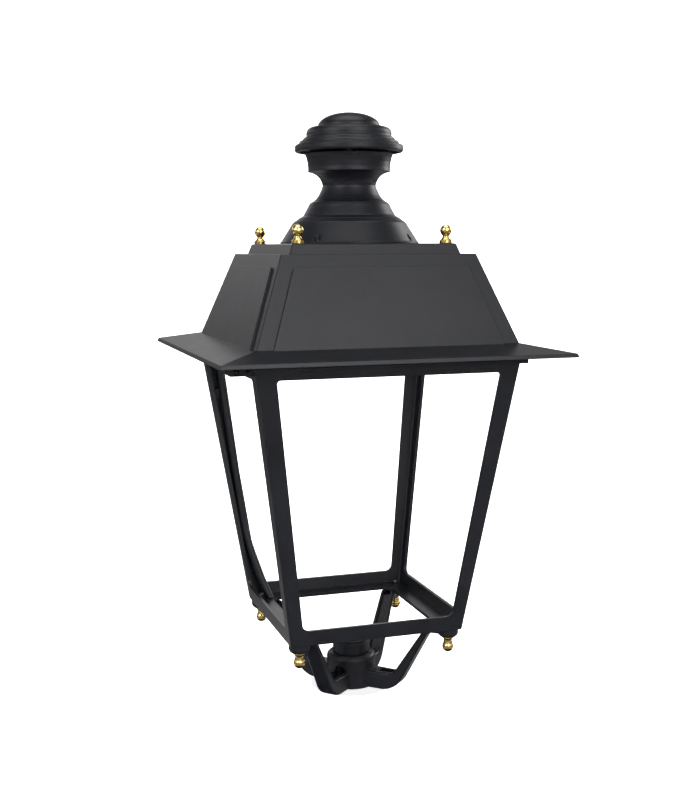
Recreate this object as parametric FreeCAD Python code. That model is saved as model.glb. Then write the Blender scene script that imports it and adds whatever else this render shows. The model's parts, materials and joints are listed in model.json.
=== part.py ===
import FreeCAD, Part
import math
import os
from FreeCAD import Vector as V

os.makedirs("parts", exist_ok=True)

# Post top lantern, millimetres. +Z up, origin at the mouth of the post socket, on the
# lantern's centre line. The front is -Y, the hinge side is -X and the lock side is +X.

# ---- driving dimensions: square tapered cage --------------------------------------
CAGE_FOOT_Z = 87.7          # underside of the bottom rail
CAGE_TOP_Z = 405.4          # underside of the top flange
CAGE_FOOT_HALF = 104.4      # outer half width at the foot
CAGE_TOP_HALF = 152.1       # outer half width under the flange
CAGE_WALL = 4.0
WINDOW_FOOT_Z = 105.5
WINDOW_TOP_Z = 395.5
WINDOW_FOOT_HALF = 90.7
WINDOW_TOP_HALF = 128.9
WINDOW_FOOT_RADIUS = 9.0
WINDOW_TOP_RADIUS = 3.5
LEDGE_THICK = 4.0
LEDGE_HALF = 80.0           # inner half width of the ledge inside the foot
GUSSET_LEG = 12.0
FLANGE_HALF = 159.6
FLANGE_THICK = 4.0
FLANGE_OPEN_HALF = 148.4
FLANGE_TOP_Z = CAGE_TOP_Z + FLANGE_THICK
POST_ROUND = 3.0            # outside radius of the four posts
POST_INNER_ROUND = 2.0
LEDGE_ROUND = 2.5
FLANGE_ROUND = 5.0
FLANGE_OPEN_ROUND = 4.0

# ---- corner studs, pads and finials -----------------------------------------------
STUD_HALF = 91.3            # foot studs at (+-91.3, +-91.3)
STUD_R = 2.5
STUD_CLEAR = 0.2
PAD_R = 12.2
PAD_FOOT_Z = 76.8
ROOF_FINIAL_HALF = 87.3
FINIAL_BALL_R = 6.7
FINIAL_BALL_ABOVE_RIM = 11.2
FINIAL_RIM_R = 7.4
# flare from the rim's top to the waist, as (radius, height above the rim)
ROOF_FINIAL_FLARE = [(6.9, 0.3), (5.6, 1.4), (4.4, 3.0), (3.7, 4.8)]
FOOT_FINIAL_FLARE = [(6.6, 0.2), (5.8, 1.2), (5.2, 2.6), (4.9, 4.2)]
ROOF_FINIAL_RIM_HIGH = 3.2
FOOT_FINIAL_RIM_HIGH = 0.9
STUD_IN_FINIAL = 5.0
STUD_TOP_Z = 95.2
NUT_WIDE = 8.0
NUT_HIGH = 2.2
ROOF_STEM_R = 2.5           # spigot of a roof finial, through the roof's top

# ---- post socket and arms ---------------------------------------------------------
COLLAR_R = 30.0
COLLAR_HIGH = 40.0
COLLAR_ROUND = 6.5
GROOVE_R = 1.8              # round groove where the neck leaves the collar
NECK_R = 22.5
NECK_TOP_Z = 62.0
# neck above the collar as (radius, height), with its ring groove and lip
NECK_OUTSIDE = [(NECK_R, COLLAR_HIGH - 4.0), (NECK_R, 53.2), (21.4, 54.0), (21.4, 54.9), (22.2, 55.6),
                (22.2, 57.0), (20.4, 58.4), (20.0, 61.2), (19.2, NECK_TOP_Z)]
POST_BORE_R = 17.1          # takes a post end of 33.7 outside diameter
POST_STOP_Z = 52.0
CABLE_HOLE_R = 11.0
ARM_WIDE = 16.6             # at the pad
ARM_ROOT_WIDE = 24.0
ARM_FOOT_HIGH = 21.5
ARM_EDGE_ROUND = 3.2
PAD_ROUND = 5.5
# arm outline from the collar outward: distance from the centre line, height, corner radius
ARM_UNDERSIDE = [(22.0, 0.0, 0.0), (63.5, 0.0, 32.0), (106.5, 79.5, 9.0)]
ARM_TOP_SIDE = [(104.0, CAGE_FOOT_Z, 3.0), (60.5, ARM_FOOT_HIGH, 12.0), (22.0, ARM_FOOT_HIGH, 0.0)]
# channel for the wires: along the arm's inner face, under the ledge, then back above the arm
ARM_CHANNEL = [(40.0, 17.5, 0.0), (62.7, 17.5, 12.0), (105.8, 83.2, 5.0), (121.5, 83.2, 0.0),
               (121.5, 90.0, 0.0), (80.0, 90.0, 0.0), (40.0, 45.0, 0.0)]
ARM_CHANNEL_WIDE = 11.0
GRUB_HEADINGS = (225, 45)   # over the front left and the back right arm
GRUB_R = 3.0
GRUB_LONG = 16.0
GRUB_KEY_WIDE = 3.0
GRUB_KEY_DEEP = 3.5
GRUB_TIP_CHAMFER = 0.8
GRUB_Z = 22.6
GRUB_CLEAR = 0.05
GRUB_TIP_IN = 0.5           # tip backed off this far inside the bore's wall
GRUB_POCKET_DEEP = 3.4
GRUB_POCKET_R = 6.5

# ---- roof -------------------------------------------------------------------------
BRIM_FOOT_Z = 414.0
BRIM_FOOT_HALF = 200.0
BRIM_TOP_Z = 418.4
BRIM_TOP_HALF = 198.5
SLOPE_FOOT_Z = 427.8
SLOPE_FOOT_HALF = 150.65
SLOPE_TOP_Z = 526.8
SLOPE_TOP_HALF = 113.6
TIER_FOOT_HALF = 100.4
TIER_TOP_HALF = 96.6
TIER_TOP_Z = 537.6
ROOF_TOP_Z = 538.6
ROOF_WALL = 3.0
ROOF_VENT_R = 60.0
PANEL_PROUD = 2.6
PANEL_TOP_Z = 512.0
PANEL_TOP_HALF = 101.3
PANEL_FOOT_HALF = 131.7
PANEL_ROUND = 5.0
SEAT_IN = 146.2             # square rib under the roof that presses the gasket
SEAT_OUT = 156.6
SEAT_FOOT_Z = 412.0
ROOF_ROUND = 1.4            # radius of the roof's four corners
SEAT_ROUND = 5.0
SEAT_INNER_ROUND = 3.0
GASKET_IN = 149.0

# ---- hinge and lock ---------------------------------------------------------------
HINGE_X = -170.3
HINGE_Z = 405.0
HINGE_PIN_R = 2.5
HINGE_CLEAR = 0.05
HINGE_MID_Y = 133.5         # middle of each of the two hinges
EAR_THICK = 4.0
EAR_GAP = 8.4               # room between the two ears of one hinge
LUG_THICK = 7.6
LUG_R = 5.0
EAR_HALF_HIGH = 4.4
EAR_TIP_X = -180.0
BACK_EAR_TIP_X = -175.6
SMALL_HEAD_R = 3.6          # head of the hinge screws
SMALL_HEAD_HIGH = 2.4
HINGE_NUT_WIDE = 7.0
HINGE_NUT_HIGH = 2.6
LOCK_X = 170.3
LOCK_R = 3.0
LOCK_TRAVEL = 8.0
LOCK_TIP_PAST_FLANGE = 2.6
LOCK_BORE_TOP_Z = 421.4
LOCK_CLEAR = 0.4
LOCK_EAR_HALF = 14.0
LOCK_EAR_OUT = 9.0          # ear's reach past the screw
LOCK_EAR_ROUND = 8.0
LOCK_EAR_DROP = 3.0         # ear's underside below the flange
LOCK_BOSS_R = 7.0
KNOB_R = 8.0
KNOB_HIGH = 7.0
KNOB_GROOVES = 24
KNOB_GROOVE_R = 0.7
KNOB_GROOVE_RING_R = KNOB_R + 0.2

# ---- chimney ----------------------------------------------------------------------
BELL_FOOT_R = 82.0
NECK_JOINT_Z = 606.2
COLLAR_TOP_Z = 642.7
CAP_FOOT_Z = 644.6
DOME_FOOT_Z = 674.4
DOME_TOP_Z = 690.7
DOME_R = 36.6
ROD_R = 4.0
BELL_SCREW_HALF = 55.4      # bell screws at (+-55.4, +-55.4)
BELL_SCREW_R = 1.9
BELL_BOSS_R = 6.8
BELL_POCKET_R = 3.5
BELL_HEAD_R = 3.0
BELL_HEAD_HIGH = 1.9
BELL_FOOT_THICK = 3.0
BELL_SEAT_Z = ROOF_TOP_Z + BELL_FOOT_THICK
ROD_HOLE_R = 5.0
ROD_FOOT_Z = 522.0
ROD_TOP_Z = 678.0
VENT_COUNT = 6
VENT_R = 5.5
VENT_PITCH_R = 18.0
BAR_HALF_LONG = 75.0
BAR_HALF_WIDE = 10.0
BAR_THICK = 4.0
ROD_NUT_WIDE = 13.0
ROD_NUT_HIGH = 6.5

# chimney outlines as (radius, height), from the foot upward outside, then down inside
BELL_OUTSIDE = [
    (BELL_FOOT_R, ROOF_TOP_Z), (BELL_FOOT_R, ROOF_TOP_Z + 2.0), (80.6, ROOF_TOP_Z + 2.6), (67.2, 562.6),
    (66.0, 563.8), (61.0, 567.2), (59.4, 568.6), (55.2, 570.8), (53.8, 572.4), (49.0, 581.2),
    (48.0, 583.6), (45.9, 586.4), (42.6, 588.0), (39.4, 590.6), (36.4, 594.6), (34.3, 598.6),
    (32.4, 603.0), (31.4, NECK_JOINT_Z)]
BELL_INSIDE = [
    (ROD_HOLE_R, NECK_JOINT_Z), (ROD_HOLE_R, NECK_JOINT_Z - 4.0), (27.6, NECK_JOINT_Z - 4.0),
    (30.4, 598.0), (35.4, 589.0), (44.4, 581.4), (50.6, 570.4), (62.6, 561.4), (76.0, BELL_SEAT_Z),
    (62.0, BELL_SEAT_Z), (62.0, ROOF_TOP_Z)]
COLLAR_OUTSIDE = [
    (ROD_HOLE_R, NECK_JOINT_Z), (31.4, NECK_JOINT_Z), (32.2, 609.6), (34.0, 613.4), (36.6, 616.8),
    (40.4, 619.6), (44.6, 621.4), (48.4, 622.2), (48.3, 627.0), (48.9, 633.0), (50.2, 638.4),
    (51.8, COLLAR_TOP_Z)]
COLLAR_INSIDE = [
    (48.8, COLLAR_TOP_Z), (46.4, 634.0), (45.6, 625.4), (38.0, 622.0), (32.0, 617.0), (29.0, 610.2),
    (ROD_HOLE_R, 610.2)]
CAP_EDGE = [
    (58.4, CAP_FOOT_Z), (61.8, CAP_FOOT_Z), (63.3, 645.6), (63.7, 647.2), (63.7, 651.4), (62.9, 652.9),
    (60.8, 653.9), (58.8, 654.8), (58.3, 656.6), (57.3, 657.6), (54.4, 658.3), (53.9, 660.3),
    (53.2, 661.2), (50.8, 661.9), (50.2, 663.6), (50.2, 666.6), (49.6, 669.2), (48.2, 671.3),
    (45.8, 672.9), (42.6, 673.9), (38.2, DOME_FOOT_Z)]
CAP_HOLLOW = [(58.4, CAP_FOOT_Z), (58.4, 648.0), (47.0, 657.0), (45.0, 668.0), (33.0, 675.0), (20.0, 682.0),
              (0.0, 686.0)]
CAP_BOSS_R = 8.0
CAP_RIB_KEEP = [(0.0, COLLAR_TOP_Z), (50.6, COLLAR_TOP_Z), (54.0, 650.0), (47.0, 662.0), (0.0, 676.0)]
CAP_RIB_THICK = 3.0
CAP_RIB_TURN = 12.0
CAP_BOSS_FOOT_Z = 655.0
CAP_BOSS_TOP_Z = 687.0

# ---- cable conduit ----------------------------------------------------------------
CONDUIT_R = 5.2
CONDUIT_BORE_R = 4.0
SADDLE_HEIGHTS = (210.0, 350.0)
SADDLE_HALF_HIGH = 6.0
# conduit's middle line as (distance along -X and along +Y, height); its foot is cut level
CONDUIT_ROUTE = [(133.0, 398.0), (108.0, 171.0), (90.0, 111.0), (80.0, 86.0)]
CONDUIT_FOOT_Z = CAGE_FOOT_Z + LEDGE_THICK + 0.2
CONDUIT_HOLE_S = 81.6       # middle of its hole through the ledge

# ---- lamp unit in the roof --------------------------------------------------------
TRAY_HALF = 145.9
TRAY_FOOT_Z = 402.0
TRAY_SHEET = 2.0
TRAY_TOP_Z = 421.0
TRAY_SCREW_Z = 417.0
TRAY_SCREW_R = 2.0
TRAY_ROUND = 4.0
TRAY_INNER_ROUND = 2.5
TRAY_SCREW_CLEAR = 0.1
SUPPLY_HOLE_IN = 3.0        # tray's supply hole sits this far inward of the conduit's top
SUPPLY_HOLE_R = 7.0
SINK_FIN_THICK = 2.0
BOARD_THICK = 1.6
LENS_PLATE = 0.8
LENS_SPHERE_R = 14.0
LAMP_HOLE_HALF = 68.0
SINK_HALF = 80.0
SINK_BASE_TOP_Z = 409.0
SINK_FIN_TOP_Z = 436.0
SINK_FIN_COUNT = 15
BOARD_HALF = 64.0
LENS_HALF = 62.0
LENS_PER_SIDE = 5
LENS_PITCH = 23.0
LENS_DEEP = 1.6
GLASS_HALF = 76.0
GLASS_FOOT_Z = 397.6
GLASS_THICK = 3.0
BEZEL_HALF = 86.0
BEZEL_OPEN_HALF = 66.0
BEZEL_FOOT_Z = 396.2
BEZEL_ROUND = 6.0
BEZEL_SCREW_R = 1.8
BEZEL_SCREW_IN = 4.5
GLASS_ROUND = 4.0
GLASS_CLEAR = 0.4

# gear on the tray, as (x low, x high, y low, y high, height)
DRIVER_BODY = (-134.0, -92.0, -75.0, 75.0, 30.0)
DRIVER_TABS = (-122.0, -104.0, -86.0, 86.0, 3.0)
SURGE_BODY = (96.0, 124.0, -62.0, -12.0, 28.0)
TERMINAL_BODY = (98.0, 120.0, 8.0, 56.0, 18.0)
TERMINAL_WAYS = 3
TERMINAL_PITCH = 16.0
TERMINAL_SCREW_R = 2.6
TERMINAL_WIRE_R = 2.2
TERMINAL_WIRE_UP = 6.0
GEAR_ROUND = 3.0

TAPER = (CAGE_TOP_HALF - CAGE_FOOT_HALF) / (CAGE_TOP_Z - CAGE_FOOT_Z)
CORNERS = [(-1, -1), (1, -1), (1, 1), (-1, 1)]
PAST = 20.0                 # how far a cutter runs past the face it opens


def cage_half(z):
    """Outer half width of the cage at a height."""
    return CAGE_FOOT_HALF + TAPER * (z - CAGE_FOOT_Z)


# ---- general shapes ---------------------------------------------------------------
def box(x0, x1, y0, y1, z0, z1):
    return Part.makeBox(x1 - x0, y1 - y0, z1 - z0, V(x0, y0, z0))


def cylinder(radius, z0, z1, x=0.0, y=0.0):
    return Part.makeCylinder(radius, z1 - z0, V(x, y, z0), V(0, 0, 1))


def frustum(half0, z0, half1, z1, corner=0.0):
    """Square tapered block between two heights, its four side edges rounded."""
    low = [V(sx * half0, sy * half0, z0) for sx, sy in CORNERS]
    high = [V(sx * half1, sy * half1, z1) for sx, sy in CORNERS]
    loops = [low[::-1], high]
    for i in range(4):
        j = (i + 1) % 4
        loops.append([low[i], low[j], high[j], high[i]])
    faces = [Part.Face(Part.makePolygon(loop + [loop[0]])) for loop in loops]
    block = Part.Solid(Part.Shell(faces))
    if corner > 0.0:
        sides = [e for e in block.Edges if e.BoundBox.ZLength > 0.5 * abs(z1 - z0)]
        block = block.makeFillet(corner, sides)
    return block


def rounded_wire(points, radii):
    """Closed wire through corner points, each corner rounded by its own radius."""
    count = len(points)
    cuts = []
    for i, (point, radius) in enumerate(zip(points, radii)):
        before = (points[i - 1] - point).normalize()
        after = (points[(i + 1) % count] - point).normalize()
        if radius <= 0.0:
            cuts.append((point, None, point))
            continue
        half_angle = 0.5 * before.getAngle(after)
        reach = radius / math.tan(half_angle)
        bisector = (before + after).normalize()
        middle = point + bisector * (radius / math.sin(half_angle) - radius)
        cuts.append((point + before * reach, middle, point + after * reach))
    edges = []
    for i, (start, middle, end) in enumerate(cuts):
        if middle is not None:
            edges.append(Part.Arc(start, middle, end).toShape())
        following = cuts[(i + 1) % count][0]
        if (following - end).Length > 1e-6:
            edges.append(Part.LineSegment(end, following).toShape())
    return Part.Wire(edges)


def extrude(points, radii, along):
    return Part.Face(rounded_wire(points, radii)).extrude(along)


def revolve(profile):
    """Solid of revolution about Z from a closed list of (radius, height)."""
    points = [V(radius, 0, height) for radius, height in profile]
    face = Part.Face(Part.makePolygon(points + [points[0]]))
    return face.revolve(V(0, 0, 0), V(0, 0, 1), 360)


def turned(shape, degrees):
    copy = shape.copy()
    copy.rotate(V(0, 0, 0), V(0, 0, 1), degrees)
    return copy


def moved(shape, x, y, z):
    copy = shape.copy()
    copy.translate(V(x, y, z))
    return copy


def four_turns(shape):
    return [turned(shape, 90 * i) for i in range(4)]


def fused(shapes):
    return shapes[0].multiFuse(shapes[1:]).removeSplitter() if len(shapes) > 1 else shapes[0]


def arc_points(center_r, center_z, radius, start_deg, end_deg, steps):
    """Points of an arc in the (radius, height) plane."""
    points = []
    for i in range(steps + 1):
        angle = math.radians(start_deg + (end_deg - start_deg) * i / steps)
        points.append((center_r + radius * math.cos(angle), center_z + radius * math.sin(angle)))
    return points


def hexagon(across_flats, z0, z1, x=0.0, y=0.0):
    radius = across_flats / math.sqrt(3.0)
    points = []
    for i in range(6):
        angle = math.radians(60 * i)
        points.append(V(x + radius * math.cos(angle), y + radius * math.sin(angle), z0))
    return Part.Face(Part.makePolygon(points + [points[0]])).extrude(V(0, 0, z1 - z0))


def pan_head_screw(radius, long, head_r, head_high):
    """Screw along +Z: shank below z = 0, domed head with a cross recess above."""
    dome_r = (head_r ** 2 + head_high ** 2) / (2 * head_high)
    dome = Part.makeSphere(dome_r, V(0, 0, head_high - dome_r))
    head = dome.common(cylinder(head_r, 0, head_high))
    slot = 0.22 * head_r
    deep = 0.5 * head_high
    cross = box(-0.6 * head_r, 0.6 * head_r, -slot, slot, deep, head_high + 1)
    head = head.cut(cross).cut(turned(cross, 90))
    return head.fuse(cylinder(radius, -long, 0))


def placed(shape, point, direction):
    """A shape made along +Z, turned to a direction and moved to a point."""
    copy = shape.copy()
    turn = FreeCAD.Rotation(V(0, 0, 1), direction)
    copy.Placement = FreeCAD.Placement(point, turn)
    return copy


def save(name, shapes):
    if not isinstance(shapes, list):
        shapes = [shapes]
    solids = [solid for shape in shapes for solid in shape.Solids]
    for solid in solids:
        if not solid.isValid() or solid.Volume <= 0:
            print("BAD SOLID", name, solid.Volume)
    result = solids[0] if len(solids) == 1 else Part.makeCompound(solids)
    result.exportStep("parts/%s.step" % name)
    print("%-22s solids %2d  volume %9.0f" % (name, len(solids), sum(s.Volume for s in solids)))


# ---- cage -------------------------------------------------------------------------
def window_cutter():
    reach = 2 * CAGE_TOP_HALF
    points = [V(-WINDOW_FOOT_HALF, -reach, WINDOW_FOOT_Z), V(WINDOW_FOOT_HALF, -reach, WINDOW_FOOT_Z),
              V(WINDOW_TOP_HALF, -reach, WINDOW_TOP_Z), V(-WINDOW_TOP_HALF, -reach, WINDOW_TOP_Z)]
    radii = [WINDOW_FOOT_RADIUS, WINDOW_FOOT_RADIUS, WINDOW_TOP_RADIUS, WINDOW_TOP_RADIUS]
    return extrude(points, radii, V(0, 2 * reach, 0))


def hinge_ears():
    """Two ears at each end of the hinge side, under the roof's brim."""
    low = HINGE_Z - EAR_HALF_HIGH
    high = HINGE_Z + EAR_HALF_HIGH
    root_x = -CAGE_TOP_HALF + 1.5
    ears = []
    for side, tip_x in ((-1, EAR_TIP_X), (1, BACK_EAR_TIP_X)):
        for face in (-1, 1):
            y = side * HINGE_MID_Y + face * 0.5 * (EAR_GAP + EAR_THICK) - 0.5 * EAR_THICK
            points = [V(tip_x, y, low), V(root_x, y, low), V(root_x, y, high), V(tip_x, y, high)]
            ears.append(extrude(points, [EAR_HALF_HIGH - 0.1, 0, 0, EAR_HALF_HIGH - 0.1],
                                V(0, EAR_THICK, 0)))
    return ears


def hinge_bore(side):
    """Hole for one hinge screw through its ears and lug."""
    half_long = 0.5 * EAR_GAP + EAR_THICK + 4.0
    start = V(HINGE_X, side * HINGE_MID_Y - half_long, HINGE_Z)
    return Part.makeCylinder(HINGE_PIN_R + HINGE_CLEAR, 2 * half_long, start, V(0, 1, 0))


def lock_ear():
    """Rounded ear on the lock side, bored for the lock screw."""
    root_x = CAGE_TOP_HALF - 2.0
    tip_x = LOCK_X + LOCK_EAR_OUT
    z0 = CAGE_TOP_Z - LOCK_EAR_DROP
    half = LOCK_EAR_HALF
    points = [V(root_x, -half, z0), V(tip_x, -half, z0), V(tip_x, half, z0), V(root_x, half, z0)]
    return extrude(points, [0, LOCK_EAR_ROUND, LOCK_EAR_ROUND, 0], V(0, 0, FLANGE_THICK + LOCK_EAR_DROP))


def lantern_cage():
    outer = frustum(CAGE_FOOT_HALF, CAGE_FOOT_Z, CAGE_TOP_HALF, CAGE_TOP_Z, POST_ROUND)
    inner = frustum(CAGE_FOOT_HALF - CAGE_WALL, CAGE_FOOT_Z, CAGE_TOP_HALF - CAGE_WALL, CAGE_TOP_Z,
                    POST_INNER_ROUND)
    walls = outer.cut(inner)
    cutter = window_cutter()
    walls = walls.cut(cutter).cut(turned(cutter, 90))
    ledge_out = CAGE_FOOT_HALF - 1.0
    ledge_top = CAGE_FOOT_Z + LEDGE_THICK
    ledge = frustum(ledge_out, CAGE_FOOT_Z, ledge_out, ledge_top, LEDGE_ROUND)
    ledge = ledge.cut(box(-LEDGE_HALF, LEDGE_HALF, -LEDGE_HALF, LEDGE_HALF, 0, ledge_top + PAST))
    near = LEDGE_HALF - GUSSET_LEG
    z = CAGE_FOOT_Z
    edge = LEDGE_HALF + 2.0
    gusset = Part.Face(Part.makePolygon([V(edge, near, z), V(edge, edge, z), V(near, edge, z),
                                         V(edge, near, z)])).extrude(V(0, 0, LEDGE_THICK))
    flange = frustum(FLANGE_HALF, CAGE_TOP_Z, FLANGE_HALF, FLANGE_TOP_Z, FLANGE_ROUND)
    flange = flange.cut(frustum(FLANGE_OPEN_HALF, CAGE_TOP_Z - PAST, FLANGE_OPEN_HALF,
                                FLANGE_TOP_Z + PAST, FLANGE_OPEN_ROUND))
    cage = fused([walls, ledge, flange, lock_ear()] + four_turns(gusset) + hinge_ears())
    holes = []
    for sx, sy in CORNERS:
        holes.append(cylinder(STUD_R + STUD_CLEAR, 0, ledge_top + PAST, sx * STUD_HALF, sy * STUD_HALF))
    holes.append(cylinder(CONDUIT_BORE_R + 1.0, 0, ledge_top + PAST, -CONDUIT_HOLE_S, CONDUIT_HOLE_S))
    holes.append(cylinder(LOCK_R + LOCK_CLEAR, CAGE_TOP_Z - PAST, FLANGE_TOP_Z + PAST, LOCK_X, 0))
    for side in (-1, 1):
        holes.append(hinge_bore(side))
    return cage.cut(Part.makeCompound(holes))


# ---- post socket with arms --------------------------------------------------------
def arm():
    """One arm in the plane y = 0, reaching along +X from the collar to its pad."""
    root, tip = 0.5 * ARM_ROOT_WIDE, 0.5 * ARM_WIDE
    root_s, tip_s, tip_z = ARM_UNDERSIDE[0][0], STUD_HALF * math.sqrt(2.0), ARM_UNDERSIDE[-1][1]
    outline = ARM_UNDERSIDE + [(tip_s, tip_z, 0.0), (tip_s, CAGE_FOOT_Z, 0.0)] + ARM_TOP_SIDE
    corners = [V(s, -root, z) for s, z, radius in outline]
    strap = extrude(corners, [radius for s, z, radius in outline], V(0, ARM_ROOT_WIDE, 0))
    plan = [(root_s, -root), (tip_s, -tip), (tip_s, tip), (root_s, root)]
    keep = Part.Face(Part.makePolygon([V(s, y, -1) for s, y in plan + plan[:1]]))
    strap = strap.common(keep.extrude(V(0, 0, CAGE_FOOT_Z + 2))).Solids[0]
    sides = [e for e in strap.Edges if abs(e.CenterOfMass.y) > tip and e.BoundBox.YLength < ARM_WIDE
             and e.BoundBox.XLength > 0.5 and e.CenterOfMass.x < tip_s - PAD_R]
    strap = strap.makeFillet(ARM_EDGE_ROUND, sides)
    pad = cylinder(PAD_R, PAD_FOOT_Z, CAGE_FOOT_Z, tip_s, 0)
    rim = [e for e in pad.Edges if e.BoundBox.ZMax < PAD_FOOT_Z + 0.01]
    pad = pad.makeFillet(PAD_ROUND, rim)
    corners = [V(s, -0.5 * ARM_CHANNEL_WIDE, z) for s, z, radius in ARM_CHANNEL]
    radii = [radius for s, z, radius in ARM_CHANNEL]
    return strap.fuse(pad).cut(extrude(corners, radii, V(0, ARM_CHANNEL_WIDE, 0)))


def post_spider():
    """Collar, neck, four arms and four pads in one casting."""
    collar = cylinder(COLLAR_R, 0, COLLAR_HIGH)
    shoulder = [e for e in collar.Edges if e.BoundBox.ZMin > COLLAR_HIGH - 0.01]
    collar = collar.makeFillet(COLLAR_ROUND, shoulder)
    groove = Part.makeTorus(NECK_R + 0.5 * GROOVE_R, GROOVE_R, V(0, 0, COLLAR_HIGH), V(0, 0, 1))
    neck = revolve(NECK_OUTSIDE + [(0.0, NECK_TOP_Z), (0.0, COLLAR_HIGH - 4.0)])
    pieces = [collar.cut(groove), neck]
    for i in range(4):
        pieces.append(turned(arm(), 45 + 90 * i))
    body = pieces[0].multiFuse(pieces[1:])
    cuts = [cylinder(POST_BORE_R, -1, POST_STOP_Z), cylinder(CABLE_HOLE_R, 0, NECK_TOP_Z + 1)]
    for heading in GRUB_HEADINGS:
        way = V(math.cos(math.radians(heading)), math.sin(math.radians(heading)), 0)
        mouth = way * (COLLAR_R - GRUB_POCKET_DEEP) + V(0, 0, GRUB_Z)
        cuts.append(Part.makeCylinder(GRUB_POCKET_R, PAST, mouth, way))
        start = way * (0.5 * POST_BORE_R) + V(0, 0, GRUB_Z)
        cuts.append(Part.makeCylinder(GRUB_R + GRUB_CLEAR, PAST, start, way))
    for sx, sy in CORNERS:
        cuts.append(cylinder(STUD_R + STUD_CLEAR, PAD_FOOT_Z - PAST, CAGE_FOOT_Z + PAST,
                             sx * STUD_HALF, sy * STUD_HALF))
    return body.cut(Part.makeCompound(cuts))


def grub_screw(heading):
    """Socket set screw, backed off so that its tip is just inside the bore's wall."""
    way = V(math.cos(math.radians(heading)), math.sin(math.radians(heading)), 0)
    tip = POST_BORE_R + GRUB_TIP_IN
    key = hexagon(GRUB_KEY_WIDE, GRUB_LONG - GRUB_KEY_DEEP, GRUB_LONG + 1)
    screw = cylinder(GRUB_R, 0, GRUB_LONG).cut(key)
    tip_rim = [e for e in screw.Edges if e.BoundBox.ZMax < 0.01]
    screw = screw.makeChamfer(GRUB_TIP_CHAMFER, tip_rim)
    return placed(screw, way * tip + V(0, 0, GRUB_Z), way)


# ---- finials, studs and nuts ------------------------------------------------------
def finial(rim_high, flare):
    """Turned ball finial standing on z = 0: rim, flare, waist and ball."""
    ball_z = rim_high + FINIAL_BALL_ABOVE_RIM
    waist = math.degrees(math.asin(flare[-1][0] / FINIAL_BALL_R))
    foot = [(0.0, 0.0), (FINIAL_RIM_R - 0.4, 0.0), (FINIAL_RIM_R, 0.4), (FINIAL_RIM_R, rim_high)]
    foot += [(radius, rim_high + up) for radius, up in flare]
    return revolve(foot + arc_points(0.0, ball_z, FINIAL_BALL_R, -90 + waist, 90, 14)[1:])


def roof_finials():
    blank = finial(ROOF_FINIAL_RIM_HIGH, ROOF_FINIAL_FLARE).fuse(cylinder(ROOF_STEM_R, -ROOF_WALL - 3, 0.5))
    return [moved(blank, sx * ROOF_FINIAL_HALF, sy * ROOF_FINIAL_HALF, ROOF_TOP_Z) for sx, sy in CORNERS]


def foot_finials():
    shapes = []
    for sx, sy in CORNERS:
        one = finial(FOOT_FINIAL_RIM_HIGH, FOOT_FINIAL_FLARE)
        one.rotate(V(0, 0, 0), V(1, 0, 0), 180)
        one = one.cut(cylinder(STUD_R, -STUD_IN_FINIAL, 1))
        shapes.append(moved(one, sx * STUD_HALF, sy * STUD_HALF, PAD_FOOT_Z))
    return shapes


def foot_studs():
    foot_z = PAD_FOOT_Z - STUD_IN_FINIAL
    return [cylinder(STUD_R, foot_z, STUD_TOP_Z, sx * STUD_HALF, sy * STUD_HALF) for sx, sy in CORNERS]


def foot_nuts():
    z = CAGE_FOOT_Z + LEDGE_THICK
    shapes = []
    for sx, sy in CORNERS:
        nut = hexagon(NUT_WIDE, z, z + NUT_HIGH, sx * STUD_HALF, sy * STUD_HALF)
        shapes.append(nut.cut(cylinder(STUD_R, z - 1, z + PAST, sx * STUD_HALF, sy * STUD_HALF)))
    return shapes


# ---- cable conduit ----------------------------------------------------------------
def route_wire(points):
    """Straight runs joined by tangent arcs."""
    edges = []
    last = points[0]
    for i in range(1, len(points) - 1):
        before = points[i - 1] - points[i]
        after = points[i + 1] - points[i]
        half_turn = 0.5 * (math.pi - before.getAngle(after))
        reach = 0.45 * min(before.Length, after.Length)
        radius = reach / math.tan(half_turn)
        enter = points[i] + before.normalize() * reach
        leave = points[i] + after.normalize() * reach
        inward = (before + after).normalize()
        middle = points[i] + inward * (radius / math.cos(half_turn) - radius)
        edges.append(Part.LineSegment(last, enter).toShape())
        edges.append(Part.Arc(enter, middle, leave).toShape())
        last = leave
    edges.append(Part.LineSegment(last, points[-1]).toShape())
    return Part.Wire(edges)


def tube_along(points, radius):
    path = route_wire(points)
    section = Part.Wire(Part.makeCircle(radius, points[0], points[1] - points[0]))
    return path.makePipeShell([section], True, False)


def cable_conduit():
    points = [V(-s, s, z) for s, z in CONDUIT_ROUTE]
    tube = tube_along(points, CONDUIT_R).cut(tube_along(points, CONDUIT_BORE_R))
    reach = CAGE_TOP_HALF
    return tube.cut(box(-reach, 0, 0, reach, 0, CONDUIT_FOOT_Z))


def conduit_point(z):
    """Middle of the conduit's long straight run at a height."""
    (s0, z0), (s1, z1) = CONDUIT_ROUTE[0], CONDUIT_ROUTE[1]
    s = s0 + (s1 - s0) * (z - z0) / (z1 - z0)
    return V(-s, s, z)


def conduit_saddle(z):
    """Block that fills the post's corner behind the conduit."""
    middle = conduit_point(z)
    low, high = z - SADDLE_HALF_HIGH, z + SADDLE_HALF_HIGH
    reach = cage_half(high)
    block = box(-reach, middle.x - 1.0, middle.y + 1.0, reach, low, high)
    inside = cage_half(low) - CAGE_WALL
    block = block.common(frustum(inside, low, inside + TAPER * (high - low), high, 2.0))
    start = conduit_point(z - 20)
    way = conduit_point(z + 20) - start
    return block.cut(Part.makeCylinder(CONDUIT_R, way.Length, start, way))


def conduit_saddles():
    return [conduit_saddle(z) for z in SADDLE_HEIGHTS]


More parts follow.
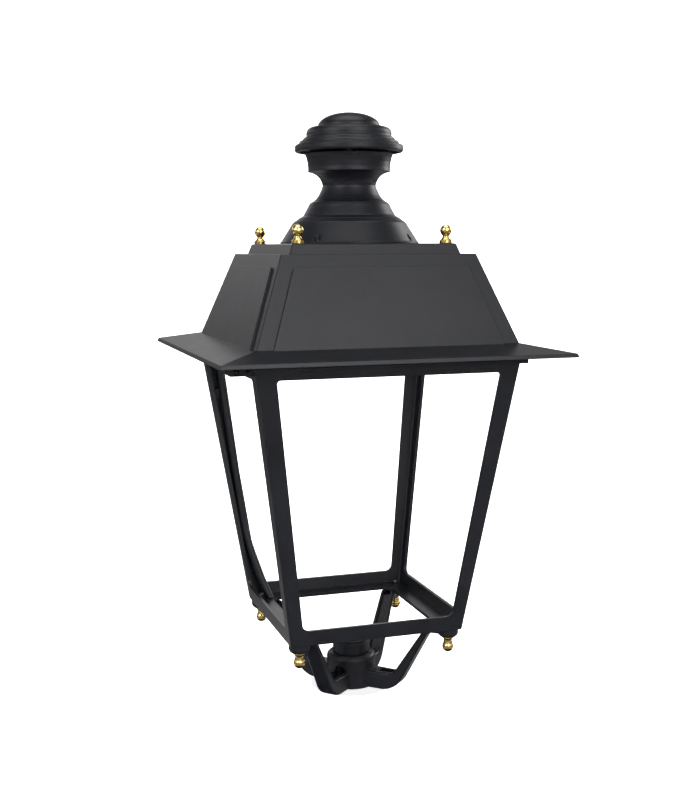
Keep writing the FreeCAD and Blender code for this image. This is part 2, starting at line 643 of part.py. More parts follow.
# ---- roof -------------------------------------------------------------------------
def roof_outer(inset):
    """Roof block, all its faces moved in by the wall thickness when inset is set."""
    brim_lip = BRIM_TOP_HALF - inset
    block = frustum(BRIM_FOOT_HALF - inset, BRIM_FOOT_Z, brim_lip, BRIM_TOP_Z - inset, ROOF_ROUND)
    brim = frustum(brim_lip, BRIM_TOP_Z - inset, SLOPE_FOOT_HALF - inset, SLOPE_FOOT_Z - inset, ROOF_ROUND)
    slope = frustum(SLOPE_FOOT_HALF - inset, SLOPE_FOOT_Z - inset,
                    SLOPE_TOP_HALF - inset, SLOPE_TOP_Z - inset, ROOF_ROUND)
    tier_half = TIER_TOP_HALF - inset
    tier = frustum(TIER_FOOT_HALF - inset, SLOPE_TOP_Z - inset, tier_half, TIER_TOP_Z - inset, ROOF_ROUND)
    top = frustum(tier_half, TIER_TOP_Z - inset, tier_half - 2.0, ROOF_TOP_Z - inset, ROOF_ROUND)
    return [block, brim, slope, tier, top]


def slope_half(z):
    rise = (z - SLOPE_FOOT_Z) / (SLOPE_TOP_Z - SLOPE_FOOT_Z)
    return SLOPE_FOOT_HALF + rise * (SLOPE_TOP_HALF - SLOPE_FOOT_HALF)


def roof_panel():
    """Raised panel of the front slope, from under its top edge down to the brim."""
    foot_z = SLOPE_FOOT_Z - 4.0
    lean = (PANEL_FOOT_HALF - PANEL_TOP_HALF) / (PANEL_TOP_Z - SLOPE_FOOT_Z)
    foot_half = PANEL_FOOT_HALF + 4.0 * lean
    outline = [(-foot_half, foot_z, 0.0), (foot_half, foot_z, 0.0),
               (PANEL_TOP_HALF, PANEL_TOP_Z, PANEL_ROUND), (-PANEL_TOP_HALF, PANEL_TOP_Z, PANEL_ROUND)]
    points = [V(x, -slope_half(z) + 2.0, z) for x, z, radius in outline]
    normal = (points[1] - points[0]).cross(points[2] - points[1]).normalize()
    return extrude(points, [radius for x, z, radius in outline], normal * (PANEL_PROUD + 2.0))


def brim_top(half):
    """Height of the brim's upper face at a distance from the centre line."""
    run = (BRIM_TOP_HALF - half) / (BRIM_TOP_HALF - SLOPE_FOOT_HALF)
    return BRIM_TOP_Z + run * (SLOPE_FOOT_Z - BRIM_TOP_Z)


def hinge_lugs():
    """Lugs under the brim, one between the two ears of each hinge."""
    lugs = []
    for side in (-1, 1):
        y = side * HINGE_MID_Y - 0.5 * LUG_THICK
        round_end = Part.makeCylinder(LUG_R, LUG_THICK, V(HINGE_X, y, HINGE_Z), V(0, 1, 0))
        stem = box(HINGE_X - LUG_R, HINGE_X + LUG_R, y, y + LUG_THICK, HINGE_Z,
                   brim_top(LUG_R - HINGE_X) - 1.0)
        lugs.append(round_end.fuse(stem))
    return lugs


def roof_shell():
    outer = fused(roof_outer(0.0) + four_turns(roof_panel()))
    shell = outer.cut(fused(roof_outer(ROOF_WALL)))
    rib = frustum(SEAT_OUT, SEAT_FOOT_Z, SEAT_OUT, brim_top(SEAT_OUT) - 1.0, SEAT_ROUND)
    rib = rib.cut(frustum(SEAT_IN, SEAT_FOOT_Z - PAST, SEAT_IN, SLOPE_FOOT_Z + PAST, SEAT_INNER_ROUND))
    lock_boss = cylinder(LOCK_BOSS_R, BRIM_FOOT_Z - 1.0, brim_top(LOCK_X + LOCK_BOSS_R) - 1.0, LOCK_X, 0)
    shell = shell.multiFuse([rib, lock_boss] + hinge_lugs())
    low, high = ROOF_TOP_Z - PAST, ROOF_TOP_Z + PAST
    cuts = [cylinder(ROOF_VENT_R, low, high)]
    cuts.append(cylinder(LOCK_R + LOCK_CLEAR, BRIM_FOOT_Z - PAST, LOCK_BORE_TOP_Z, LOCK_X, 0))
    for sx, sy in CORNERS:
        cuts.append(cylinder(ROOF_STEM_R, low, high, sx * ROOF_FINIAL_HALF, sy * ROOF_FINIAL_HALF))
        cuts.append(cylinder(BELL_SCREW_R, low, high, sx * BELL_SCREW_HALF, sy * BELL_SCREW_HALF))
    for side in (-1, 1):
        cuts.append(hinge_bore(side))
    for i in range(4):
        hole = Part.makeCylinder(TRAY_SCREW_R, 8, V(TRAY_HALF - 1, 0, TRAY_SCREW_Z), V(1, 0, 0))
        cuts.append(turned(hole, 90 * i))
    return shell.cut(Part.makeCompound(cuts))


def roof_gasket():
    half = SEAT_OUT - 0.6
    ring = frustum(half, FLANGE_TOP_Z, half, SEAT_FOOT_Z, SEAT_ROUND - 1.0)
    return ring.cut(frustum(GASKET_IN, FLANGE_TOP_Z - PAST, GASKET_IN, SEAT_FOOT_Z + PAST, SEAT_INNER_ROUND))


def hinge_pin_screw(side):
    """Shoulder screw of one hinge: its head shows beside the outer ear."""
    outer_y = HINGE_MID_Y + 0.5 * EAR_GAP + EAR_THICK
    long = EAR_GAP + 2 * EAR_THICK + HINGE_NUT_HIGH + 0.4
    blank = pan_head_screw(HINGE_PIN_R, long, SMALL_HEAD_R, SMALL_HEAD_HIGH)
    return placed(blank, V(HINGE_X, side * outer_y, HINGE_Z), V(0, side, 0))


def hinge_nut(side):
    inner_y = HINGE_MID_Y - 0.5 * EAR_GAP - EAR_THICK
    nut = hexagon(HINGE_NUT_WIDE, 0, HINGE_NUT_HIGH).cut(cylinder(HINGE_PIN_R, -1, PAST))
    return placed(nut, V(HINGE_X, side * inner_y, HINGE_Z), V(0, -side, 0))


def lock_screw():
    """Knurled thumb screw that rises from the ear into the roof's boss."""
    top = FLANGE_TOP_Z + LOCK_TIP_PAST_FLANGE
    knob_top = CAGE_TOP_Z - LOCK_EAR_DROP - LOCK_TRAVEL - LOCK_CLEAR
    shank = cylinder(LOCK_R, knob_top - 1, top, LOCK_X, 0)
    knob = cylinder(KNOB_R, knob_top - KNOB_HIGH, knob_top, LOCK_X, 0)
    grooves = []
    for i in range(KNOB_GROOVES):
        angle = 2 * math.pi * i / KNOB_GROOVES
        x = LOCK_X + KNOB_GROOVE_RING_R * math.cos(angle)
        y = KNOB_GROOVE_RING_R * math.sin(angle)
        grooves.append(cylinder(KNOB_GROOVE_R, knob_top - KNOB_HIGH - 1, knob_top + 1, x, y))
    return knob.cut(Part.makeCompound(grooves)).fuse(shank)


# ---- chimney ----------------------------------------------------------------------
def vent_holes(z0, z1):
    holes = []
    for i in range(VENT_COUNT):
        angle = 2 * math.pi * i / VENT_COUNT
        x, y = VENT_PITCH_R * math.cos(angle), VENT_PITCH_R * math.sin(angle)
        holes.append(cylinder(VENT_R, z0, z1, x, y))
    return holes


def chimney_bell():
    """Hollow bell: foot ring, two stepped cones and a waisted neck, with four screw bosses."""
    bell = revolve(BELL_OUTSIDE + BELL_INSIDE)
    filled = revolve(BELL_OUTSIDE + [(0.0, NECK_JOINT_Z), (0.0, ROOF_TOP_Z)])
    spots = [(sx * BELL_SCREW_HALF, sy * BELL_SCREW_HALF) for sx, sy in CORNERS]
    pocket_top = BELL_SEAT_Z + PAST
    bosses = [cylinder(BELL_BOSS_R, ROOF_TOP_Z, pocket_top, x, y).common(filled) for x, y in spots]
    cuts = [cylinder(BELL_SCREW_R + 0.2, ROOF_TOP_Z - 1, BELL_SEAT_Z + 1, x, y) for x, y in spots]
    cuts += [cylinder(BELL_POCKET_R, BELL_SEAT_Z, pocket_top, x, y) for x, y in spots]
    cuts += vent_holes(NECK_JOINT_Z - PAST, NECK_JOINT_Z + 1)
    return bell.multiFuse(bosses).cut(Part.makeCompound(cuts))


def bell_screws():
    blank = pan_head_screw(BELL_SCREW_R, 8.0, BELL_HEAD_R, BELL_HEAD_HIGH)
    return [moved(blank, sx * BELL_SCREW_HALF, sy * BELL_SCREW_HALF, BELL_SEAT_Z) for sx, sy in CORNERS]


def chimney_collar():
    """Flared collar over the neck, open at the top under the cap."""
    collar = revolve(COLLAR_OUTSIDE + COLLAR_INSIDE)
    return collar.cut(Part.makeCompound(vent_holes(NECK_JOINT_Z - 1, NECK_JOINT_Z + PAST)))


def chimney_cap():
    """Stepped hollow cap with an elliptical dome, a boss for the rod and three spacer ribs."""
    squash = (DOME_TOP_Z - DOME_FOOT_Z) / DOME_R
    quarter = arc_points(0.0, 0.0, DOME_R, 0, 90, 12)
    dome = [(r, DOME_FOOT_Z + squash * z) for r, z in quarter]
    cap = revolve(CAP_EDGE + dome + CAP_HOLLOW[:0:-1])
    boss = revolve([(0.0, CAP_BOSS_FOOT_Z), (CAP_BOSS_R, CAP_BOSS_FOOT_Z), (CAP_BOSS_R, CAP_BOSS_TOP_Z),
                    (0.0, CAP_BOSS_TOP_Z + 1.0)])
    keep = revolve(CAP_RIB_KEEP)
    half = 0.5 * CAP_RIB_THICK
    ribs = []
    for i in range(3):
        rib = box(ROD_R + 2.0, BELL_FOOT_R, -half, half, COLLAR_TOP_Z, DOME_FOOT_Z)
        ribs.append(turned(rib, 120 * i + CAP_RIB_TURN).common(keep))
    return cap.multiFuse([boss] + ribs).cut(cylinder(ROD_R, CAP_FOOT_Z - PAST, ROD_TOP_Z + 2.0))


def tie_rod():
    return cylinder(ROD_R, ROD_FOOT_Z, ROD_TOP_Z)


def clamp_bar():
    """Bar across the roof's vent, under its top plate, that the rod pulls up."""
    z = ROOF_TOP_Z - ROOF_WALL
    bar = box(-BAR_HALF_LONG, BAR_HALF_LONG, -BAR_HALF_WIDE, BAR_HALF_WIDE, z - BAR_THICK, z)
    return bar.cut(cylinder(ROD_R + 0.3, z - PAST, z + 1))


def rod_nut():
    z = ROOF_TOP_Z - ROOF_WALL - BAR_THICK
    return hexagon(ROD_NUT_WIDE, z - ROD_NUT_HIGH, z).cut(cylinder(ROD_R, z - PAST, z + 1))


# ---- lamp unit --------------------------------------------------------------------
def gear_tray():
    outer = frustum(TRAY_HALF, TRAY_FOOT_Z, TRAY_HALF, TRAY_TOP_Z, TRAY_ROUND)
    half = TRAY_HALF - TRAY_SHEET
    inner = frustum(half, TRAY_FOOT_Z + TRAY_SHEET, half, TRAY_TOP_Z + PAST, TRAY_INNER_ROUND)
    tray = outer.cut(inner)
    low, high = TRAY_FOOT_Z - 1, TRAY_FOOT_Z + PAST
    cuts = [box(-LAMP_HOLE_HALF, LAMP_HOLE_HALF, -LAMP_HOLE_HALF, LAMP_HOLE_HALF, low, high)]
    for i in range(4):
        start = V(TRAY_HALF - 0.5 * PAST, 0, TRAY_SCREW_Z)
        hole = Part.makeCylinder(TRAY_SCREW_R + TRAY_SCREW_CLEAR, PAST, start, V(1, 0, 0))
        cuts.append(turned(hole, 90 * i))
    supply = CONDUIT_ROUTE[0][0] - SUPPLY_HOLE_IN
    cuts.append(cylinder(SUPPLY_HOLE_R, low, high, -supply, supply))
    return tray.cut(Part.makeCompound(cuts))


def led_heat_sink():
    z0 = TRAY_FOOT_Z + TRAY_SHEET
    shapes = [box(-SINK_HALF, SINK_HALF, -SINK_HALF, SINK_HALF, z0, SINK_BASE_TOP_Z)]
    pitch = (2 * SINK_HALF - SINK_FIN_THICK) / (SINK_FIN_COUNT - 1)
    for i in range(SINK_FIN_COUNT):
        x = -SINK_HALF + i * pitch
        shapes.append(box(x, x + SINK_FIN_THICK, -SINK_HALF, SINK_HALF, SINK_BASE_TOP_Z - 1, SINK_FIN_TOP_Z))
    return fused(shapes)


def led_board():
    z1 = TRAY_FOOT_Z + TRAY_SHEET
    return box(-BOARD_HALF, BOARD_HALF, -BOARD_HALF, BOARD_HALF, z1 - BOARD_THICK, z1)


def led_lenses():
    z1 = TRAY_FOOT_Z + TRAY_SHEET - BOARD_THICK
    plate = box(-LENS_HALF, LENS_HALF, -LENS_HALF, LENS_HALF, z1 - LENS_PLATE, z1)
    domes = []
    first = -0.5 * (LENS_PER_SIDE - 1) * LENS_PITCH
    reach = 0.35 * LENS_PITCH
    for i in range(LENS_PER_SIDE):
        for j in range(LENS_PER_SIDE):
            x = first + i * LENS_PITCH
            y = first + j * LENS_PITCH
            ball = Part.makeSphere(LENS_SPHERE_R, V(x, y, z1 - LENS_DEEP + LENS_SPHERE_R))
            keep = box(x - reach, x + reach, y - reach, y + reach, z1 - PAST, z1 - 0.5 * LENS_PLATE)
            domes.append(ball.common(keep))
    return plate.multiFuse(domes)


def square_ring(outer, inner, z0, z1, corner):
    ring = frustum(outer, z0, outer, z1, corner)
    return ring.cut(frustum(inner, z0 - 1, inner, z1 + 1, max(corner - 1.5, 0.5)))


def lamp_gasket():
    glass_top = GLASS_FOOT_Z + GLASS_THICK
    return square_ring(GLASS_HALF - 0.5, LAMP_HOLE_HALF + 1.0, glass_top, TRAY_FOOT_Z, GLASS_ROUND)


def lamp_glass():
    return frustum(GLASS_HALF, GLASS_FOOT_Z, GLASS_HALF, GLASS_FOOT_Z + GLASS_THICK, GLASS_ROUND)


def bezel_screw_spots():
    spots = []
    for sx in (-1, 0, 1):
        for sy in (-1, 0, 1):
            if (sx, sy) != (0, 0):
                reach = BEZEL_HALF - BEZEL_SCREW_IN
                spots.append((sx * reach, sy * reach))
    return spots


def lamp_bezel():
    body = square_ring(BEZEL_HALF, BEZEL_OPEN_HALF, BEZEL_FOOT_Z, TRAY_FOOT_Z, BEZEL_ROUND)
    half = GLASS_HALF + GLASS_CLEAR
    seat = frustum(half, GLASS_FOOT_Z, half, TRAY_FOOT_Z + 1, GLASS_ROUND)
    holes = [cylinder(BEZEL_SCREW_R, BEZEL_FOOT_Z - 1, TRAY_FOOT_Z + 1, x, y) for x, y in bezel_screw_spots()]
    return body.cut(seat).cut(Part.makeCompound(holes))


def bezel_screws():
    blank = pan_head_screw(BEZEL_SCREW_R, 5.0, 3.4, 1.8)
    return [placed(blank, V(x, y, BEZEL_FOOT_Z), V(0, 0, -1)) for x, y in bezel_screw_spots()]


def tray_screws():
    """Four screws from inside the tray outward into the roof's square rib."""
    blank = pan_head_screw(TRAY_SCREW_R, 8.0, 3.8, 2.2)
    x = TRAY_HALF - TRAY_SHEET
    return [turned(placed(blank, V(x, 0, TRAY_SCREW_Z), V(-1, 0, 0)), 90 * i) for i in range(4)]


def gear_block(body, radius):
    """Block with rounded upright edges, standing on the tray's floor."""
    x0, x1, y0, y1, high = body
    z = TRAY_FOOT_Z + TRAY_SHEET
    points = [V(x0, y0, z), V(x1, y0, z), V(x1, y1, z), V(x0, y1, z)]
    return extrude(points, [radius] * 4, V(0, 0, high))


def led_driver():
    return gear_block(DRIVER_BODY, GEAR_ROUND).fuse(gear_block(DRIVER_TABS, GEAR_ROUND))


def surge_protector():
    return gear_block(SURGE_BODY, GEAR_ROUND)


def terminal_block():
    body = gear_block(TERMINAL_BODY, 1.0)
    x0, x1, y0, _, high = TERMINAL_BODY
    z = TRAY_FOOT_Z + TRAY_SHEET
    holes = []
    for i in range(TERMINAL_WAYS):
        y = y0 + TERMINAL_PITCH * (i + 0.5)
        holes.append(cylinder(TERMINAL_SCREW_R, z + TERMINAL_WIRE_UP, z + high + 1, 0.5 * (x0 + x1), y))
        start = V(x0 - 1, y, z + TERMINAL_WIRE_UP)
        holes.append(Part.makeCylinder(TERMINAL_WIRE_R, x1 - x0 + 2, start, V(1, 0, 0)))
    return body.cut(Part.makeCompound(holes))


def main():
    save("lantern_cage", lantern_cage())
    save("post_spider", post_spider())
    save("grub_screw_front", grub_screw(225))
    save("grub_screw_back", grub_screw(45))
    save("foot_studs", foot_studs())
    save("foot_nuts", foot_nuts())
    save("foot_finials", foot_finials())
    save("cable_conduit", cable_conduit())
    save("conduit_saddles", conduit_saddles())
    save("hinge_screws", [hinge_pin_screw(-1), hinge_pin_screw(1)])
    save("hinge_nuts", [hinge_nut(-1), hinge_nut(1)])
    save("lock_screw", lock_screw())
    save("roof_shell", roof_shell())
    save("roof_gasket", roof_gasket())
    save("roof_finials", roof_finials())
    save("chimney_bell", chimney_bell())
    save("bell_screws", bell_screws())
    save("chimney_collar", chimney_collar())
    save("chimney_cap", chimney_cap())
    save("tie_rod", tie_rod())
    save("clamp_bar", clamp_bar())
    save("rod_nut", rod_nut())
    save("gear_tray", gear_tray())
    save("tray_screws", tray_screws())
    save("led_heat_sink", led_heat_sink())
    save("led_board", led_board())
    save("led_lenses", led_lenses())
    save("lamp_gasket", lamp_gasket())
    save("lamp_glass", lamp_glass())
    save("lamp_bezel", lamp_bezel())
    save("bezel_screws", bezel_screws())
    save("led_driver", led_driver())
    save("surge_protector", surge_protector())
    save("terminal_block", terminal_block())


main()
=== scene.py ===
import bpy
import json
import math
from mathutils import Matrix, Vector

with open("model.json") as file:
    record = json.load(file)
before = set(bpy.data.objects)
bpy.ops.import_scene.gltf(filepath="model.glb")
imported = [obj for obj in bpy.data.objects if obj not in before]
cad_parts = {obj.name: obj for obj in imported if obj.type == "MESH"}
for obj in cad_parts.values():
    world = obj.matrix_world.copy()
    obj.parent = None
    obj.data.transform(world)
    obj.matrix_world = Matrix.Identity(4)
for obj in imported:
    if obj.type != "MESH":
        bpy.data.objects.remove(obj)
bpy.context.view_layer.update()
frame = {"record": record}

# ---- camera, solved from corners of the object measured in the photograph ---------
CAMERA_AZIMUTH = math.radians(17.83)     # towards -X from -Y
CAMERA_DISTANCE = 1.4299                 # from the lantern's centre line
CAMERA_HEIGHT = 0.5354
CAMERA_PITCH = math.radians(7.32)
CAMERA_ROLL = math.radians(-0.23)
CAMERA_FOCAL_PX = 1195.9
IMAGE_HIGH_PX = 800.0
SENSOR = 36.0
CLIP_NEAR, CLIP_FAR = 0.05, 50.0

# ---- round white floor and wall, in metres ------------------------------------------
FLOOR_FLAT_R = 3.4
FLOOR_HUB_R = 0.05
FLOOR_BEND_R = 1.6
WALL_TOP = 6.0
FLOOR_DROP = 0.0006         # below the lantern's foot
BEND_STEPS = 12
FLOOR_SIDES = 64
FLOOR_GLOW = 0.85

# ---- light --------------------------------------------------------------------------
# glow of the studio round the lantern, as (sine of the angle above the horizon, glow)
STUDIO = [(-1.0, 0.03), (-0.62, 0.04), (-0.55, 0.40), (-0.46, 1.20), (-0.38, 0.50), (-0.32, 0.12),
          (-0.14, 0.14), (0.0, 0.16), (0.12, 0.30), (0.24, 1.60), (0.38, 0.40), (0.60, 0.10),
          (0.84, 0.10), (0.94, 2.90), (1.0, 2.90)]
MIDDLE = (0.0, 0.0, 0.42)
CHIMNEY = (0.0, 0.0, 0.6)
# soft panels: place, aim, width, height and power
LIGHTS = {
    "key_left": ((-2.2, -1.3, 1.7), MIDDLE, 1.6, 1.6, 34.0),
    "front_top": ((0.35, -2.4, 1.80), MIDDLE, 1.9, 1.2, 34.0),
    "behind_right": ((0.6, 2.3, 1.0), MIDDLE, 0.7, 0.5, 2.2),
    "low_front": ((0.1, -2.4, 0.75), CHIMNEY, 1.6, 0.5, 7.0),
    "right_rim": ((2.2, 0.8, 1.2), MIDDLE, 0.9, 1.6, 22.0),
}

# ---- surfaces: radii of the softened edges, in metres, and the coat's gloss ----------
COAT_EDGE_R = 0.0009
METAL_EDGE_R = 0.0003
PLASTIC_EDGE_R = 0.0006
EDGE_SAMPLES = 4
COAT_SPECULAR = 0.28


def make_camera():
    sin_a, cos_a = math.sin(CAMERA_AZIMUTH), math.cos(CAMERA_AZIMUTH)
    sin_p, cos_p = math.sin(CAMERA_PITCH), math.cos(CAMERA_PITCH)
    forward = Vector((sin_a * cos_p, cos_a * cos_p, -sin_p))
    right = Vector((cos_a, -sin_a, 0.0))
    up = right.cross(forward)
    sin_r, cos_r = math.sin(CAMERA_ROLL), math.cos(CAMERA_ROLL)
    right, up = cos_r * right + sin_r * up, cos_r * up - sin_r * right
    data = bpy.data.cameras.new("camera")
    data.sensor_width = SENSOR
    data.lens = SENSOR * CAMERA_FOCAL_PX / IMAGE_HIGH_PX
    data.clip_start, data.clip_end = CLIP_NEAR, CLIP_FAR
    camera = bpy.data.objects.new("camera", data)
    turn = Matrix((right, up, -forward)).transposed().to_4x4()
    place = Matrix.Translation((-sin_a * CAMERA_DISTANCE, -cos_a * CAMERA_DISTANCE, CAMERA_HEIGHT))
    camera.matrix_world = place @ turn
    bpy.context.collection.objects.link(camera)
    bpy.context.scene.camera = camera


# ---- node helpers -----------------------------------------------------------------
class Shader:
    """One material's node tree, with short calls for the nodes used here."""

    def __init__(self, name):
        self.material = bpy.data.materials.new(name)
        self.material.use_nodes = True
        self.tree = self.material.node_tree
        self.nodes = self.tree.nodes
        self.bsdf = self.nodes["Principled BSDF"]
        self.coords = self.nodes.new("ShaderNodeTexCoord").outputs["Object"]

    def link(self, source, target):
        self.tree.links.new(source, target)

    def set(self, **values):
        for name, value in values.items():
            self.bsdf.inputs[name.replace("_", " ")].default_value = value

    def noise(self, scale, detail=3.0, roughness=0.55, stretch=None):
        node = self.nodes.new("ShaderNodeTexNoise")
        node.inputs["Scale"].default_value = scale
        node.inputs["Detail"].default_value = detail
        node.inputs["Roughness"].default_value = roughness
        self.link(self.stretched(stretch), node.inputs["Vector"])
        return node.outputs["Fac"]

    def stretched(self, stretch):
        if stretch is None:
            return self.coords
        node = self.nodes.new("ShaderNodeMapping")
        node.inputs["Scale"].default_value = stretch
        self.link(self.coords, node.inputs["Vector"])
        return node.outputs["Vector"]

    def ramp(self, factor, stops):
        node = self.nodes.new("ShaderNodeValToRGB")
        elements = node.color_ramp.elements
        while len(elements) < len(stops):
            elements.new(0.5)
        for element, (position, colour) in zip(elements, stops):
            element.position = position
            element.color = (*colour, 1.0)
        self.link(factor, node.inputs["Fac"])
        return node.outputs["Color"]

    def math(self, operation, first, second):
        node = self.nodes.new("ShaderNodeMath")
        node.operation = operation
        for socket, value in zip(node.inputs, (first, second)):
            if isinstance(value, (int, float)):
                socket.default_value = value
            else:
                self.link(value, socket)
        return node.outputs["Value"]

    def range(self, value, low, high, to_low, to_high):
        node = self.nodes.new("ShaderNodeMapRange")
        for name, number in (("From Min", low), ("From Max", high), ("To Min", to_low), ("To Max", to_high)):
            node.inputs[name].default_value = number
        self.link(value, node.inputs["Value"])
        return node.outputs["Result"]

    def bump(self, height, strength, distance, normal=None):
        node = self.nodes.new("ShaderNodeBump")
        node.inputs["Strength"].default_value = strength
        node.inputs["Distance"].default_value = distance
        self.link(height, node.inputs["Height"])
        if normal is not None:
            self.link(normal, node.inputs["Normal"])
        return node.outputs["Normal"]

    def soft_edge(self, radius):
        node = self.nodes.new("ShaderNodeBevel")
        node.samples = EDGE_SAMPLES
        node.inputs["Radius"].default_value = radius
        return node.outputs["Normal"]

    def finish(self, color=None, roughness=None, normal=None):
        for name, value in (("Base Color", color), ("Roughness", roughness), ("Normal", normal)):
            if value is not None:
                self.link(value, self.bsdf.inputs[name])
        return self.material


# ---- materials --------------------------------------------------------------------
# Noise scales are per metre and bump distances in metres.
def powder_coat(name, dark, light, rough_low, rough_high, grain):
    """Fine-textured satin coat on a casting: tone and gloss drift slowly, over a fine orange peel."""
    s = Shader(name)
    s.set(Metallic=0.0, IOR=1.5, Specular_IOR_Level=COAT_SPECULAR)
    broad = s.noise(14.0, 4.0)
    speckle = s.noise(1500.0, 2.0)
    tone = s.math("ADD", s.math("MULTIPLY", broad, 0.7), s.math("MULTIPLY", speckle, 0.3))
    colour = s.ramp(tone, [(0.38, dark), (0.62, light)])
    gloss = s.math("ADD", s.math("MULTIPLY", s.noise(55.0), 0.5), s.math("MULTIPLY", broad, 0.5))
    rough = s.range(gloss, 0.35, 0.65, rough_low, rough_high)
    peel = s.bump(s.noise(grain, 2.0), 0.12, 0.00025, s.soft_edge(COAT_EDGE_R))
    return s.finish(colour, rough, peel)


def brass(name):
    """Polished brass with faint turning lines round each finial."""
    s = Shader(name)
    s.set(Metallic=1.0)
    colour = s.ramp(s.noise(60.0, 3.0), [(0.35, (0.76, 0.53, 0.19)), (0.65, (0.87, 0.65, 0.28))])
    lathe = s.noise(30.0, 3.0, 0.6, (1.0, 1.0, 60.0))
    rough = s.range(s.noise(90.0), 0.3, 0.7, 0.16, 0.26)
    return s.finish(colour, rough, s.bump(lathe, 0.03, 0.0002, s.soft_edge(METAL_EDGE_R)))


def metal(name, dark, light, rough_low, rough_high, grain=(1.0, 1.0, 1.0)):
    """Plain metal with a drawn or cast grain."""
    s = Shader(name)
    s.set(Metallic=1.0)
    streak = s.noise(220.0, 4.0, 0.6, grain)
    colour = s.ramp(streak, [(0.3, dark), (0.7, light)])
    rough = s.range(streak, 0.3, 0.7, rough_low, rough_high)
    return s.finish(colour, rough, s.bump(streak, 0.12, 0.0002, s.soft_edge(METAL_EDGE_R)))


def plastic(name, dark, light, rough_low, rough_high):
    """Moulded plastic, rubber or board with a fine grain."""
    s = Shader(name)
    colour = s.ramp(s.noise(25.0, 3.0), [(0.35, dark), (0.65, light)])
    rough = s.range(s.noise(300.0), 0.3, 0.7, rough_low, rough_high)
    return s.finish(colour, rough, s.bump(s.noise(900.0, 2.0), 0.15, 0.0002, s.soft_edge(PLASTIC_EDGE_R)))


def clear(name, tint, roughness):
    """Clear glass or acrylic, with faint waves in its face."""
    s = Shader(name)
    s.set(Transmission_Weight=0.95, IOR=1.5, Roughness=roughness)
    s.set(Base_Color=(*tint, 1.0))
    return s.finish(normal=s.bump(s.noise(9.0, 2.0), 0.05, 0.0005))


def make_materials():
    black = powder_coat("black_coat", (0.0022, 0.0024, 0.0038), (0.0042, 0.0045, 0.0066), 0.37, 0.40, 850.0)
    return {
        "black_coat": black,
        "polished_brass": brass("polished_brass"),
        "steel": metal("steel", (0.48, 0.48, 0.49), (0.66, 0.66, 0.67), 0.22, 0.38),
        "black_steel": metal("black_steel", (0.03, 0.03, 0.03), (0.06, 0.06, 0.06), 0.30, 0.45),
        "seal": plastic("seal", (0.012, 0.012, 0.012), (0.022, 0.022, 0.022), 0.65, 0.8),
        "white_tray": powder_coat("white_tray", (0.68, 0.68, 0.66), (0.76, 0.76, 0.74), 0.35, 0.5, 1100.0),
        "bare_aluminium": metal("bare_aluminium", (0.60, 0.61, 0.63), (0.76, 0.77, 0.79), 0.28, 0.42,
                                (1.0, 0.05, 1.0)),
        "board": plastic("board", (0.80, 0.80, 0.78), (0.88, 0.88, 0.86), 0.25, 0.4),
        "lens": clear("lens", (0.95, 0.96, 0.97), 0.08),
        "clear_glass": clear("clear_glass", (0.93, 0.97, 0.96), 0.02),
        "plastic_white": plastic("plastic_white", (0.74, 0.74, 0.72), (0.82, 0.82, 0.80), 0.4, 0.55),
    }


def dress_frame(materials):
    """Give every CAD node the material of its slot."""
    slots = {row["node"]: row["material_slot"] for row in frame["record"]["subparts"]}
    for node, slot in slots.items():
        obj = bpy.data.objects[node]
        obj.data.materials.clear()
        obj.data.materials.append(materials[slot])


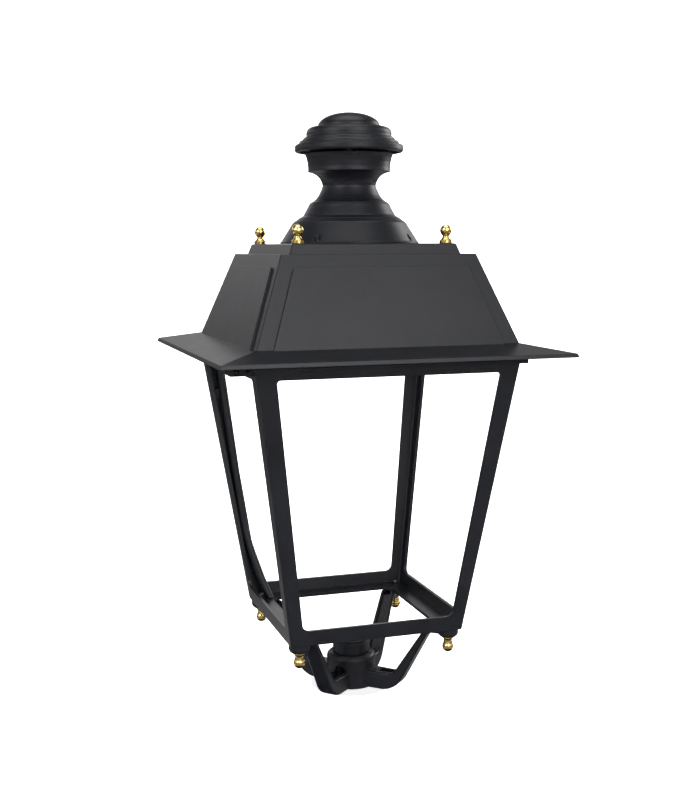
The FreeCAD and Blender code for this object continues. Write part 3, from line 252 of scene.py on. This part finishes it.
# ---- stage ------------------------------------------------------------------------
def make_stage():
    """Pale round floor that curves up into a white wall all round, far from the lantern."""
    rows = [(FLOOR_HUB_R, 0.0)]
    for i in range(BEND_STEPS + 1):
        angle = 0.5 * math.pi * i / BEND_STEPS
        radius = FLOOR_FLAT_R + FLOOR_BEND_R * math.sin(angle)
        rows.append((radius, FLOOR_BEND_R * (1.0 - math.cos(angle))))
    rows.append((FLOOR_FLAT_R + FLOOR_BEND_R, WALL_TOP))
    verts = []
    for radius, height in rows:
        for k in range(FLOOR_SIDES):
            turn = 2.0 * math.pi * k / FLOOR_SIDES
            verts.append((radius * math.cos(turn), radius * math.sin(turn), height - FLOOR_DROP))
    faces = [tuple(range(FLOOR_SIDES))]
    for low in range(0, len(verts) - FLOOR_SIDES, FLOOR_SIDES):
        high = low + FLOOR_SIDES
        for k in range(FLOOR_SIDES):
            step = (k + 1) % FLOOR_SIDES
            faces.append((low + k, low + step, high + step, high + k))
    mesh = bpy.data.meshes.new("floor")
    mesh.from_pydata(verts, [], faces)
    for polygon in mesh.polygons:
        polygon.use_smooth = True
    floor = bpy.data.objects.new("floor", mesh)
    bpy.context.collection.objects.link(floor)
    floor.visible_glossy = False
    floor.visible_shadow = False
    s = Shader("floor_paper")
    s.set(Emission_Color=(1.0, 1.0, 1.0, 1.0), Emission_Strength=FLOOR_GLOW, Specular_IOR_Level=0.1)
    colour = s.ramp(s.noise(3.0), [(0.3, (0.80, 0.80, 0.80)), (0.7, (0.84, 0.84, 0.84))])
    mesh.materials.append(s.finish(colour, s.range(s.noise(40.0), 0.3, 0.7, 0.8, 0.9)))


def area_light(name, place, target, size_x, size_y, power):
    data = bpy.data.lights.new(name, "AREA")
    data.shape = "RECTANGLE"
    data.size = size_x
    data.size_y = size_y
    data.energy = power
    light = bpy.data.objects.new(name, data)
    light.location = place
    light.rotation_euler = (Vector(target) - Vector(place)).to_track_quat("-Z", "Y").to_euler()
    light.visible_camera = False
    bpy.context.collection.objects.link(light)


def make_studio():
    """World light in soft bands by height: overhead, above the horizon and low down, dim between them."""
    world = bpy.data.worlds.new("studio")
    world.use_nodes = True
    nodes, links = world.node_tree.nodes, world.node_tree.links
    coords = nodes.new("ShaderNodeTexCoord")
    split = nodes.new("ShaderNodeSeparateXYZ")
    links.new(coords.outputs["Generated"], split.inputs["Vector"])
    place = nodes.new("ShaderNodeMapRange")
    place.inputs["From Min"].default_value = -1.0
    links.new(split.outputs["Z"], place.inputs["Value"])
    ramp = nodes.new("ShaderNodeValToRGB")
    elements = ramp.color_ramp.elements
    while len(elements) < len(STUDIO):
        elements.new(0.5)
    for element, (sine, glow) in zip(elements, STUDIO):
        element.position = 0.5 + 0.5 * sine
        element.color = (glow, glow, glow, 1.0)
    links.new(place.outputs["Result"], ramp.inputs["Fac"])
    links.new(ramp.outputs["Color"], nodes["Background"].inputs["Color"])
    bpy.context.scene.world = world


def make_lights():
    make_studio()
    bpy.context.scene.view_settings.view_transform = "Standard"
    for name, (place, target, size_x, size_y, power) in LIGHTS.items():
        area_light(name, place, target, size_x, size_y, power)


make_camera()
dress_frame(make_materials())
make_stage()
make_lights()
